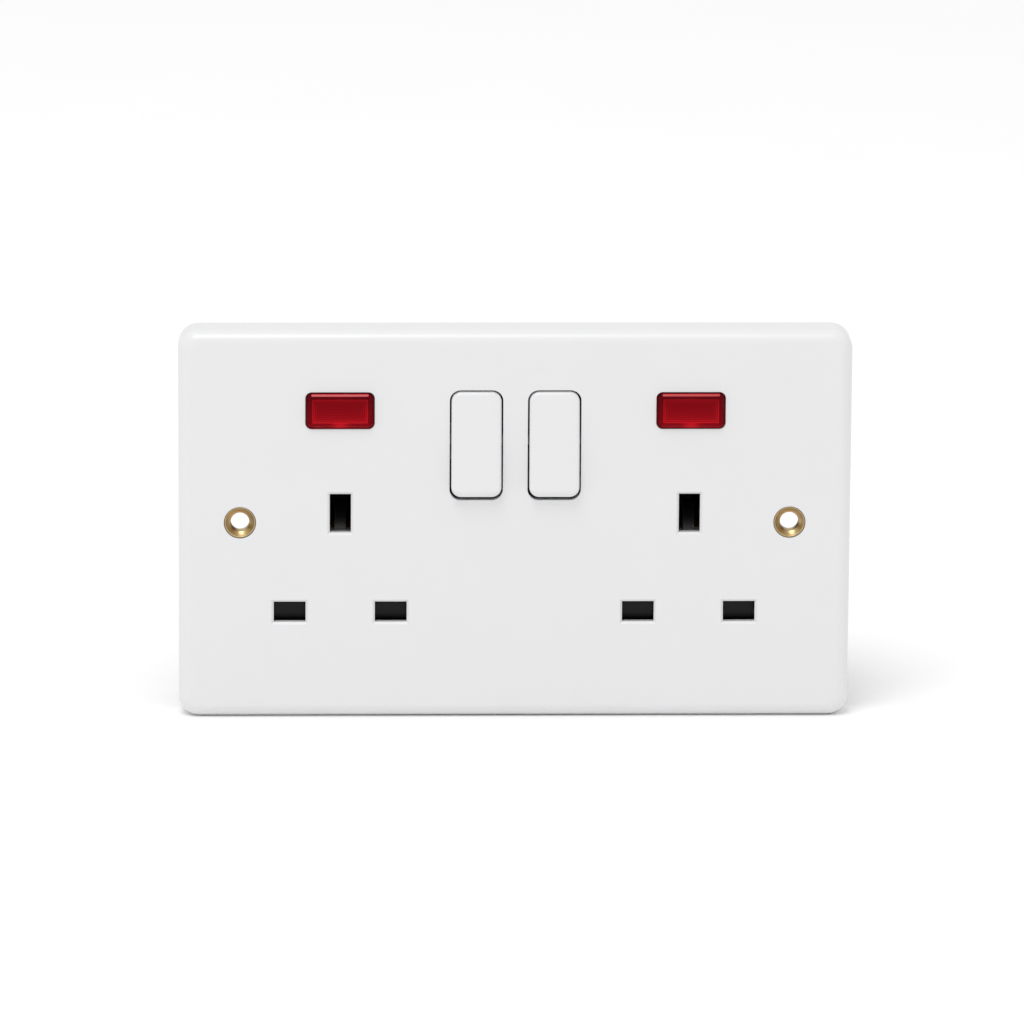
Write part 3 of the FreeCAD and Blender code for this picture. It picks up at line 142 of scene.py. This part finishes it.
# The points within EDGE_REACH round an opening move with its sides; those of them that lie within
# END_REACH of its top or bottom edge, or past it, move up or down too.
EDGE_REACH = 0.8
END_REACH = 3
plate_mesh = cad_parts["front_plate"].data.copy()
points = np.empty(len(plate_mesh.vertices) * 3)
plate_mesh.vertices.foreach_get("co", points)
points = points.reshape(-1, 3) / MM
for middle, half, height, rise, aside, upward, wider, taller in openings:
    x, z = points[:, 0] - middle, points[:, 2] - height
    near = (abs(x) < half + EDGE_REACH) & (abs(z) < rise + EDGE_REACH)
    ends = near & (abs(z) > rise - END_REACH)
    points[near, 0] += aside + wider * np.sign(x[near])
    points[ends, 2] += upward + taller * np.sign(z[ends])
# The face's back moves forwards, but not the rim's points at the same depth: those lie further
# than RIM_INSIDE from the centres that the outline's corners turn about.
beyond_centres = np.maximum(abs(points[:, [0, 2]]) - (np.array(PLATE_HALF) - PLATE_CORNER), 0)
within_rim = np.hypot(beyond_centres[:, 0], beyond_centres[:, 1]) < RIM_INSIDE
points[within_rim & (abs(points[:, 1] - FACE_BACK) < 0.01), 1] = THIN_FACE_BACK
plate_mesh.vertices.foreach_set("co", points.reshape(-1) * MM)
work = bmesh.new()
work.from_mesh(plate_mesh)
bmesh.ops.remove_doubles(work, verts=work.verts, dist=1e-7)
work.to_mesh(plate_mesh)
work.free()
plate_mesh.attributes.remove(plate_mesh.attributes["custom_normal"])
plate_mesh.shade_smooth()
plate_mesh.set_sharp_from_angle(angle=math.radians(30))
plate_mesh.materials.clear()
plate_mesh.materials.append(urea)
plate = bpy.data.objects.new("moulded_plate", plate_mesh)
bpy.context.scene.collection.objects.link(plate)
even = plate.modifiers.new("even shading", "WEIGHTED_NORMAL")
even.keep_sharp = True
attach(plate, "socket")
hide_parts("front_plate")


# Rockers: urea caps on a stem with trunnions, hollow behind, their long edges finely rounded
# and their ends more. Each is turned five degrees, with its top pressed in: off.
PIVOT = (-4.5, ROCKER_HEIGHT)
REST = math.radians(-5)


def outline(half, rise, corner, steps=10, along=0):
    """Rounded rectangle, anticlockwise: the centre each point turns about, its normal, and the radius.
    A corner's normals turn a quarter; on the straight side after it the centre moves on in equal steps."""
    turn = np.concatenate([np.append(np.linspace(k, k + 1, steps + 1), np.full(along, k + 1.0))
                           for k in range(4)]) * np.pi / 2
    normal = np.stack([np.cos(turn), np.sin(turn)], 1)
    corners = np.array([[1, 1], [-1, 1], [-1, -1], [1, -1]]) * [half - corner, rise - corner]
    share = np.append(np.zeros(steps + 1), np.arange(1, along + 1) / (along + 1))[:, None]
    centre = np.concatenate([corners[k] * (1 - share) + corners[(k + 1) % 4] * share for k in range(4)])
    return centre, normal, corner


def ring(shape, inset, depth):
    """The outline moved inwards: centre + normal * (radius - inset). Once the inset passes the radius
    the corners are sharp, and the centre itself moves in along both axes, never past the middle."""
    centre, normal, corner = shape
    inset = np.broadcast_to(inset, len(normal))
    beyond = np.maximum(inset - corner, 0)[:, None]
    limit = np.abs(centre).max(0)
    scale = np.maximum(limit - beyond, 0) / limit
    flat = centre * scale + normal * np.maximum(corner - inset, 0)[:, None]
    return np.stack([flat[:, 0], np.broadcast_to(depth, len(normal)), flat[:, 1]], 1)


def shell(rings, closed=True):
    """Rings of points joined by four-sided faces: the last joins the first, or both ends close on
    their middles."""
    rings = np.array(rings)
    count, around = rings.shape[:2]
    if not closed:
        rings = np.concatenate([np.repeat(rings[:1].mean(1, keepdims=True), around, 1), rings,
                                np.repeat(rings[-1:].mean(1, keepdims=True), around, 1)])
        count += 2
    row, column = np.meshgrid(np.arange(count if closed else count - 1), np.arange(around), indexing="ij")
    beside, above = (column + 1) % around, (row + 1) % count
    faces = np.stack([row * around + column, row * around + beside,
                      above * around + beside, above * around + column], -1).reshape(-1, 4)
    return rings.reshape(-1, 3), faces


def turned(profile, around=64):
    """Profile of (radius, along) turned about the Y axis: x = r cos t, y = along, z = r sin t."""
    angle = np.linspace(0, 2 * np.pi, around, endpoint=False)
    radius, along = np.array(profile, float).T
    return np.stack([radius[:, None] * np.cos(angle), np.repeat(along[:, None], around, 1),
                     radius[:, None] * np.sin(angle)], -1)


def prism(points, start, end):
    """A flat outline of (y, z) points, set at x = start and once more at x = end."""
    flat = np.array(points, float)
    return [np.insert(flat, 0, start, axis=1), np.insert(flat, 0, end, axis=1)]


def piece(name, parts, material, body, nodes=(), smooth=35, fields=None):
    """One mesh object from (points in mm, faces) parts: joined, doubles merged, normals outwards.
    Each field holds a value per point and goes with the points as an attribute."""
    points, faces, done = [], [], 0
    for corners, sides in parts:
        points.append(corners)
        faces.append(sides + done)
        done += len(corners)
    mesh = bpy.data.meshes.new(name)
    mesh.from_pydata((np.concatenate(points) * MM).tolist(), [], np.concatenate(faces).tolist())
    for label, values in (fields or {}).items():
        mesh.attributes.new(label, "FLOAT", "POINT").data.foreach_set("value", values.astype(np.float32))
    work = bmesh.new()
    work.from_mesh(mesh)
    bmesh.ops.remove_doubles(work, verts=work.verts, dist=1e-7)
    bmesh.ops.dissolve_degenerate(work, edges=work.edges, dist=1e-8)
    bmesh.ops.recalc_face_normals(work, faces=work.faces)
    work.to_mesh(mesh)
    work.free()
    mesh.shade_smooth()
    mesh.set_sharp_from_angle(angle=math.radians(smooth))
    mesh.materials.append(material)
    made = bpy.data.objects.new(name, mesh)
    bpy.context.scene.collection.objects.link(made)
    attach(made, body)
    if nodes:
        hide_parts(*nodes)
    return made


def on_rocker(part, side):
    """Turns a part about the X axis by the rest angle and takes it to its rocker's axis."""
    points, faces = part
    x, y, z = points.T
    y, z = y * math.cos(REST) - z * math.sin(REST), y * math.sin(REST) + z * math.cos(REST)
    return np.stack([x + ROCKERS[side], y + PIVOT[0], z + PIVOT[1]], 1), faces


# The cap's front edge is rounded by 0.75 mm at the sides, 1 mm at the top and 1.7 mm at the bottom,
# where it also flares a little; then come its rear edge and the hollow, as (inset, depth).
cap = outline(5.475, 11.72, 2.2)
CAP_FRONT = -6.4
CAP_SHIFT = (0.08, 0.35)
across, upward = cap[1].T
rounding = 0.75 * across ** 2 + np.where(upward > 0, 1.0, 1.7) * upward ** 2
flare = 0.2 * np.minimum(upward, 0) ** 2
cap_rings = [ring(cap, rounding * (1 - math.sin(a)), rounding * (1 - math.cos(a)) + CAP_FRONT)
             for a in np.linspace(0, np.pi / 2, 9)]
cap_rings += [ring(cap, inset - flare, depth) for inset, depth in
              [(0, -3.2), (0, -1.6), (0.06, -1.45), (0.15, -1.4), (1.2, -1.4), (1.3, -1.5), (1.3, -5.1)]]
cap_rings = np.array(cap_rings) - [0, 0, CAP_SHIFT[1]]
stem = turned([(1.3, 0.1), (1.3, 5.9), (1.4, 6.0), (2.15, 6.0), (2.3, 5.85), (2.3, -5.2)])
hub = [ring(outline(3.2, 2.3, 0.3, 4), inset, depth) for inset, depth in
       [(0, -5.2), (0, 0.35), (0.15, 0.5)]]
trunnion = turned([(1.2, 2.4), (1.2, 6.8), (1.0, 7.0)], 40)[..., [1, 0, 2]]
gusset = [(-1.9, -4), (0.7, -1.7), (0.7, 1.7), (-1.9, 4)]
for side, middle in ROCKERS.items():
    inward = [-CAP_SHIFT[0] * np.sign(middle), 0, 0]
    parts = [shell(cap_rings + inward, closed=False), shell(stem, closed=False), shell(hub, closed=False)]
    for hand in (-1, 1):
        parts.append(shell(trunnion * [hand, 1, 1], closed=False))
        parts.append(shell(prism(gusset, hand * 4.2, hand * 5.5), closed=False))
    piece(f"rocker_cap_{side}", [on_rocker(part, side) for part in parts], urea,
          f"rocker_{side}", [f"rocker_{side}"])


# Neon lenses: clear red mouldings pressed in from behind, with a bevelled rim and a sunk panel of
# fine nested ribs. Their red is painted with light and shade: a nearly black outer edge, a painted
# highlight on the top bevel, ribs painted light and dark in turn, and painted light growing downwards.
red, red_shader = finish("tinted polycarbonate", "#8c0613", Roughness=0.1, IOR=1.58)
painted_tones = add(red, "ShaderNodeAttribute", attribute_name="painted_tone")
highlight_glosses = add(red, "ShaderNodeAttribute", attribute_name="highlight_gloss")
reds = ramp(red, painted_tones.outputs["Fac"], [(0, "#1c0004"), (0.5, "#800712"), (1, "#d81c26")])
red.node_tree.links.new(reds, red_shader.inputs["Base Color"])
red.node_tree.links.new(highlight_glosses.outputs["Fac"], red_shader.inputs["Specular IOR Level"])
LENSES = {"left": -38.4, "right": 38.4}
LENS_HEIGHT = 25.8
LENS_RISE = 3.985
PANEL_INSET = 1.38
PANEL_DEPTH = -10.2
RIB_PITCH = 0.5
lens = outline(7.45, LENS_RISE, 1.3, 8, 24)
rim = [(0, -7.45), (0, -9.7), (0.06, -9.8), (0.2, -9.86), (0.32, -9.86), (0.62, -10.22), (0.68, -10.3),
       (1.25, -10.3), (1.33, -10.26), (PANEL_INSET, PANEL_DEPTH)]
for inset in np.linspace(PANEL_INSET, 3.95, 90)[1:]:
    rim.append((inset, PANEL_DEPTH - 0.02 * math.cos((inset - PANEL_INSET) * 2 * math.pi / RIB_PITCH)))
rings = np.array([ring(lens, inset, depth) for inset, depth in rim])
inset = np.array([inset for inset, depth in rim])[:, None]
inwards = inset - PANEL_INSET
x, z = rings[..., 0], rings[..., 2]
# Painted light and shade by the inset: dark up to 0.2 mm, then the bevel, the flat band and the panel.
# All are painted lighter downwards, and the top bevel is painted as a highlight. A painted pool of light
# stands in the middle of the lower bevel and band. The ribs are painted light and dark in turn, and the
# panel is painted lighter near its edge.
# A painted pool of light, brightest at the middle of the lens.
painted_glow = np.exp(-(x / 1.6) ** 2)
above = (z > LENS_RISE - inset - 0.01) & (inset > 0)
below = (z < inset - LENS_RISE + 0.01) & (inset > 0)
bevel = 0.27 + 0.13 * below + 0.24 * below * painted_glow + 0.6 * above - 0.025 * z
band = 0.3 + 0.1 * below + 0.3 * below * painted_glow + 0.06 * above * painted_glow - 0.025 * z
painted_rib_shade = 0.1 * np.cos(inwards * 2 * np.pi / RIB_PITCH) * np.exp(-inwards / 1.2)
panel = 0.5 + 0.22 * np.exp(-inwards / 0.35) + painted_rib_shade - 0.035 * z
painted_tone = np.where(inset < 0.2, 0.12, np.where(inset < 0.65, bevel, np.where(inset < 1.34, band, panel)))
# Only the top bevel is made glossy, so that it alone shows the lamp: a painted highlight.
highlight_gloss = np.where((inset > 0.2) & (inset < 0.65), 0.02 + 0.8 * above, 0.02 + 0 * x)
face_points, face_sides = shell(rings, closed=False)
# The middle that closes each end takes the values of its ring.
painted_tone, highlight_gloss = (np.concatenate([values[:1], values, values[-1:]]).reshape(-1) for values in (painted_tone, highlight_gloss))
flange = shell([ring(outline(8.5, 5.025, 2.3), inset, depth) for inset, depth in
                [(0.1, -7.45), (0, -7.35), (0, -6.35), (0.1, -6.25)]], closed=False)
pipe = shell([ring(outline(5.0, 2.025, 0.3, 4), inset, depth) for inset, depth in
              [(0, -6.3), (0, -3.8), (0.15, -3.65)]], closed=False)
plain = np.full(len(flange[0]) + len(pipe[0]), 0.4)
for side, middle in LENSES.items():
    parts = [(points + [middle, 0, LENS_HEIGHT], faces)
             for points, faces in ((face_points, face_sides), flange, pipe)]
    piece(f"lens_{side}", parts, red, "socket", [f"neon_lens_{side}"], smooth=25,
          fields={"painted_tone": np.append(painted_tone, plain), "highlight_gloss": np.append(highlight_gloss, plain)})


# Fixing eyelets: drawn brass, a dished head seated in the plate, its tube rolled over the strap.
# Dull gold with a grain of nine to the centimetre. Its colour holds painted reflections: paler in the
# upper half of the bore and the dish, and painted dark in two patches below, each side of where the
# dish catches the light, with painted shade at the bottom of the dish's outer edge.
brass, brass_shader = finish("drawn brass", "#c6b084", Metallic=1.0, Roughness=0.3)
painted_tones = add(brass, "ShaderNodeAttribute", attribute_name="painted_tone")
golds = ramp(brass, painted_tones.outputs["Fac"], [(0, "#7d5c2c"), (0.5, "#c6b084"), (1, "#fce5c3")])
brass.node_tree.links.new(golds, brass_shader.inputs["Base Color"])
where = add(brass, "ShaderNodeTexCoord")
grain = add(brass, "ShaderNodeTexNoise", {"Vector": where.outputs["Object"]},
            {"Scale": 9 / (10 * MM), "Detail": 3.0})
bump = add(brass, "ShaderNodeBump", {"Height": grain.outputs["Fac"]}, {"Distance": 0.01 * MM})
brass.node_tree.links.new(bump.outputs["Normal"], brass_shader.inputs["Normal"])
EYELETS = {"left": -60.3, "right": 60.3}
EYELET_HEIGHT = 0.65
HEAD_STEPS = 96
rim_profile = [(3.28, -9.33), (3.38, -9.26), (3.44, -9.12), (3.44, -8.6)]
tube_profile = [(2.6, -8.6), (2.6, -6.65), (3.4, -6.65), (3.4, -6.4), (3.2, -6.2)]
bore_profile = [(2.05, -6.2), (2.05, -8.35), (2.08, -8.47), (2.16, -8.56)]
dish_profile = [(3.04, -9.17), (3.09, -9.27), (3.16, -9.34)]
head = rim_profile + tube_profile + bore_profile + dish_profile
turn = np.linspace(0, 360, HEAD_STEPS, endpoint=False)
# Painted reflections: light in the upper half, dark in two patches low down, shade at the bottom.
painted_upper_light = np.clip(np.sin(np.radians(turn)) + 0.3, 0, 1)
painted_dark_reflections = np.exp(-((turn - 225) / 28) ** 2) + 0.9 * np.exp(-((turn - 332) / 20) ** 2)
painted_tone = np.full((len(head), HEAD_STEPS), 0.5)
dish_start = len(head) - len(dish_profile)
painted_tone[dish_start - len(bore_profile):dish_start] += 0.4 * painted_upper_light - 0.5 * painted_dark_reflections
painted_tone[dish_start] += 0.42 * painted_upper_light - 0.25 * painted_dark_reflections - 0.2 * np.exp(-((turn - 270) / 25) ** 2)
for side, middle in EYELETS.items():
    points, faces = shell(turned(head, HEAD_STEPS))
    piece(f"eyelet_{side}", [(points + [middle, 0, EYELET_HEIGHT], faces)], brass,
          "socket", [f"fixing_eyelet_{side}"], fields={"painted_tone": painted_tone.reshape(-1)})


# Shutters: black acetal slides behind the slots, and each one's return spring. They are dark and
# smooth, with painted shade, darker and less glossy, along the lower edge of the bars, and a pale band
# of painted light, glossier too, where the earth pins meet the foot of the ramp. The ramp of colours
# runs over the shutter's whole height.
SHUTTER_FOOT = -22.64
SHUTTER_TOP = 3.81
acetal, acetal_shader = finish("black acetal", "#100f0f", Roughness=0.3)
where = add(acetal, "ShaderNodeTexCoord")
upright = add(acetal, "ShaderNodeSeparateXYZ", {"Vector": where.outputs["Object"]})
height = add(acetal, "ShaderNodeMapRange", {"Value": upright.outputs["Z"]},
             {"From Min": SHUTTER_FOOT * MM, "From Max": SHUTTER_TOP * MM})
# Painted light and shade by height: darkest at the bars' lower edge, a pale painted light at the ramp's
# foot.
blacks_with_painted_light = ramp(acetal, height.outputs["Result"],
              [(0.04, "#040404"), (0.085, "#0c0b0b"), (0.77, "#0c0b0b"), (0.79, "#6a6762"),
               (0.804, "#181716"), (0.95, "#0a0909")])
painted_gloss = add(acetal, "ShaderNodeMath", {0: blacks_with_painted_light}, {1: 55.0}, operation="MULTIPLY", use_clamp=True)
acetal.node_tree.links.new(blacks_with_painted_light, acetal_shader.inputs["Base Color"])
acetal.node_tree.links.new(painted_gloss.outputs["Value"], acetal_shader.inputs["Specular IOR Level"])
dress(acetal, "shutter_left", "shutter_right")
wire, wire_shader = finish("spring steel wire", "#8f9092", Metallic=1.0, Roughness=0.28)
speckled(wire, wire_shader, "#898a8c", "#959698", 1, 0.003)


def coil(radius, thickness, start, end, turns, along="z"):
    """Wire round a helix: angle a runs evenly, the height slowly at both ends, so the last turns lie
    flat. Each ring is a circle of the wire's thickness across the outward and the axial direction."""
    a = np.linspace(0, 2 * np.pi * turns, int(turns * 28))
    share = a / a[-1]
    ease = np.clip((share * turns - 0.8) / (turns - 1.6), 0, 1)
    height = start + thickness / 2 + ease * (end - start - thickness)
    out = np.stack([np.cos(a), np.sin(a), np.zeros_like(a)], 1)
    b = np.linspace(0, 2 * np.pi, 12, endpoint=False)
    rings = (out * radius)[:, None] + (thickness / 2) * (np.cos(b)[None, :, None] * out[:, None]
                                                         + np.sin(b)[None, :, None] * [0, 0, 1])
    rings[..., 2] += height[:, None]
    return rings if along == "z" else rings[..., [0, 2, 1]]


for side, middle in OUTLETS.items():
    low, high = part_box(f"shutter_spring_{side}")
    depth = (low.y + high.y) / 2 / MM
    points, faces = shell(coil(1.15, 0.33, low.z / MM, high.z / MM, 7), closed=False)
    made = piece(f"shutter_coil_{side}", [(points + [middle, depth, 0], faces)], wire,
                 "socket", [f"shutter_spring_{side}"])
    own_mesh(made)


# Rear base: one urea moulding with a well for every metal part, held to the plate by four screws.
# It is a little duller than the plate, and black as painted shade, so that no light shows through the slots
# and the gaps round the rockers stay dark.
base, base_shader = finish("black moulded urea", "#1e1e1f", Roughness=0.42)
speckled(base, base_shader, "#1c1c1d", "#212122", 10, 0.01)
dress(base, "rear_base")


# Plungers: small mouldings of natural acetal, cream and smooth, that slide in the rockers' stems
# and press on the rocking contacts.
cream, cream_shader = finish("natural acetal", "#e6e3d8", Roughness=0.35)
speckled(cream, cream_shader, "#e4e1d6", "#e8e5da", 2, 0.005)
dress(cream, "rocker_plunger_left", "rocker_plunger_right")


# Contacts, links and straps: stamped brass, laid in the base's wells. The earth contacts are painted
# dark as painted shade, as they show dark behind their slots, and the terminal blocks are cut from
# extruded brass, a little duller than the rest.
strip, strip_shader = finish("stamped brass", "#c9a45c", Metallic=1.0, Roughness=0.3)
speckled(strip, strip_shader, "#c29b52", "#d0ad68", 3, 0.006)
dress(strip, "earth_strap", "neutral_bar", "live_feed", "live_link_left", "live_link_right",
      "moving_contact_left", "moving_contact_right", "live_contact_left", "live_contact_right",
      "neutral_contact_left", "neutral_contact_right")
# Dark brass for the earth contacts: a painted shade, for they lie deep behind their slots.
shade_darkened_brass, shade_darkened_brass_shader = finish("shade-darkened brass", "#4c3b22", Metallic=1.0, Roughness=0.5)
speckled(shade_darkened_brass, shade_darkened_brass_shader, "#443620", "#554228", 2, 0.006)
dress(shade_darkened_brass, "earth_contact_left", "earth_contact_right")
block, block_shader = finish("extruded brass", "#c5a562", Metallic=1.0, Roughness=0.38)
speckled(block, block_shader, "#bd9c58", "#cbae6e", 2, 0.008)
dress(block, "live_terminal", "neutral_terminal", "earth_terminal")


# Screws: zinc-plated steel, a bright cool grey, three in the terminal blocks and four that hold
# the base. The plungers' springs are coils of the shutters' wire, seated in the rockers' stems.
zinc, zinc_shader = finish("zinc-plated steel", "#b8babd", Metallic=1.0, Roughness=0.32)
speckled(zinc, zinc_shader, "#b0b2b5", "#bfc1c3", 2, 0.005)
dress(zinc, "terminal_screws", "assembly_screws")
SPRING_START = 0.2
SPRING_END = 2.48
for side in ROCKERS:
    points, faces = shell(coil(0.9, 0.25, SPRING_START, SPRING_END, 3, "y"), closed=False)
    made = piece(f"plunger_coil_{side}", [on_rocker((points, faces), side)], wire,
                 f"rocker_{side}", [f"rocker_spring_{side}"])
    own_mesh(made)


# Neon lamps: small bulbs of clear, smooth glass behind the lenses. Above each lies its series
# resistor, lacquered a satin tan.
glass = finish("lamp glass", "#f4f1ea", Roughness=0.05, IOR=1.5, Transmission_Weight=0.9)[0]
dress(glass, "neon_lamp_left", "neon_lamp_right")
film = finish("lacquered resistor body", "#b58a5c", Roughness=0.4)[0]
dress(film, "neon_resistor_left", "neon_resistor_right")


# Floor: a matt white sheet of paper, 8 m across, that the plate stands on and that fills the view
# behind it.
paper, paper_shader = finish("white sheet", "#fcfcfc", Roughness=0.9, Specular_IOR_Level=0.1)
speckled(paper, paper_shader, "#fbfbfb", "#fdfdfd", 50, 0.002)
sheet = bpy.data.meshes.new("floor")
corners = [(x, y, -PLATE_HALF[1] * MM) for x, y in ((-4, -4), (4, -4), (4, 4), (-4, 4))]
sheet.from_pydata(corners, [], [(0, 1, 2, 3)])
sheet.materials.append(paper)
floor = bpy.data.objects.new("floor", sheet)
bpy.context.scene.collection.objects.link(floor)


# Light: a white surround, a weak wide lamp above, and a stronger one above, in front and to the left.
world = bpy.data.worlds.new("surround")
world.use_nodes = True
world.node_tree.nodes["Background"].inputs["Color"].default_value = (1, 1, 1, 1)
world.node_tree.nodes["Background"].inputs["Strength"].default_value = 0.84
bpy.context.scene.world = world


def lamp(name, place, target, size, power):
    """A square area lamp at the place, turned to face the target; metres and watts."""
    light = bpy.data.lights.new(name, "AREA")
    light.size = size
    light.energy = power
    made = bpy.data.objects.new(name, light)
    made.location = place
    made.rotation_euler = (Vector(target) - Vector(place)).to_track_quat("-Z", "Y").to_euler()
    bpy.context.scene.collection.objects.link(made)


lamp("soft_top", (-0.45, -0.35, 2.1), (0, 0, 0), 1.3, 4.0)
lamp("soft_slant", (-0.38, -0.95, 1.9), (0, 0, 0), 0.9, 12.0)
bpy.context.scene.view_settings.view_transform = "Standard"


# Camera: far back and slightly above and to the left, with a long lens, as in the photograph.
def tilted(yaw, pitch, roll):
    """Camera's right, away and up in the world, as columns: turned by minus the roll about Y, then
    by minus the pitch about X, then by minus the yaw about Z."""
    turn_z = Matrix.Rotation(-math.radians(yaw), 3, "Z")
    turn_x = Matrix.Rotation(-math.radians(pitch), 3, "X")
    turn_y = Matrix.Rotation(-math.radians(roll), 3, "Y")
    return turn_z @ turn_x @ turn_y


optics = bpy.data.cameras.new("camera")
optics.sensor_width = 36
optics.lens = 303.0
optics.clip_start = 0.1
optics.clip_end = 20
camera = bpy.data.objects.new("camera", optics)
bpy.context.scene.collection.objects.link(camera)
axes = tilted(1.82, 13.35, 0.35)
right, away, up = axes.col[0], axes.col[1], axes.col[2]
# The part's origin lies at these mm to the right of the camera, away from it and above it.
place = -(axes @ Vector((0.36, 1900, -0.75))) * MM
camera.matrix_world = Matrix((
    (right.x, up.x, -away.x, place.x), (right.y, up.y, -away.y, place.y),
    (right.z, up.z, -away.z, place.z), (0, 0, 0, 1)))
bpy.context.scene.camera = camera
